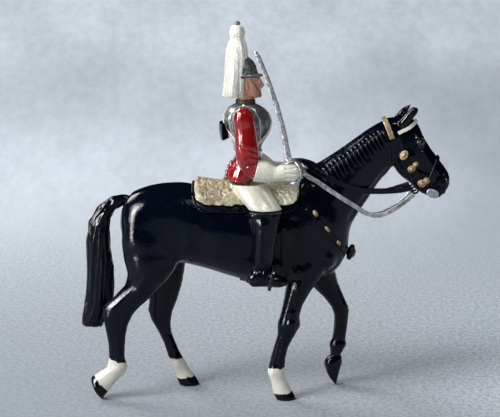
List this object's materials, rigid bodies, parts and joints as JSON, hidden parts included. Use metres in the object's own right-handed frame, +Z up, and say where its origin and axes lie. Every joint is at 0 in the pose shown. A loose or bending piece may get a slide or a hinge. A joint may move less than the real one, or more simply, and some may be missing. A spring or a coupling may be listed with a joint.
{
  "type": "toy cavalry trooper",
  "caption": "Cast and painted toy trooper in plumed helmet and breastplate, riding a walking horse, with a sword arm that swings at the shoulder.",
  "frame": {"origin": "on the ground, at the middle of the figure's length and width", "axes": "+X forward to the horse's nose, +Y to the horse's left, +Z up"},
  "size_m": [0.0923, 0.0284, 0.0942],
  "materials": {
    "horse_black": "gloss enamel",
    "leather_black": "gloss enamel",
    "fleece_cream": "satin enamel",
    "gilt": "metallic enamel",
    "white": "gloss enamel",
    "silver": "metallic enamel",
    "red": "gloss enamel",
    "flesh": "satin enamel",
    "plume_white": "satin enamel",
    "dark_tip": "metallic enamel"
  },
  "bodies": {
    "figure": {"horse_right_half": "horse_black", "horse_left_half": "horse_black", "tail": "horse_black", "saddle_cloth": "leather_black", "girth": "leather_black", "breast_strap": "leather_black", "noseband": "leather_black", "cheek_straps": "leather_black", "right_bridoon_rein": "leather_black", "left_bridoon_rein": "leather_black", "pouch": "leather_black", "right_jackboot": "leather_black", "left_jackboot": "leather_black", "bit_rings": "leather_black", "sheepskin": "fleece_cream", "breast_studs": "gilt", "breast_boss": "gilt", "bridle_crown": "gilt", "bridle_bosses": "gilt", "collar": "gilt", "chin_chain": "gilt", "browband": "white", "right_thigh": "white", "left_thigh": "white", "waist_belt": "white", "cross_belt": "white", "bridle_gauntlet": "white", "curb_bit": "silver", "right_curb_rein": "silver", "left_curb_rein": "silver", "right_stirrup": "silver", "left_stirrup": "silver", "spurs": "silver", "cuirass": "silver", "helmet": "silver", "scabbard": "silver", "tunic_skirt": "red", "bridle_arm": "red", "rider_head": "flesh", "plume": "plume_white", "plume_spike": "dark_tip"},
    "sword_arm": {"sword_arm": "red", "sword_gauntlet": "white", "sword": "silver"}
  },
  "joints": [
    {"name": "sword_arm_swing", "type": "hinge", "parent": "figure", "child": "sword_arm", "pos_m": [-0.0051, -0.0085, 0.0718], "axis": [0, -1, 0], "range_deg": [0, 135]}
  ]
}
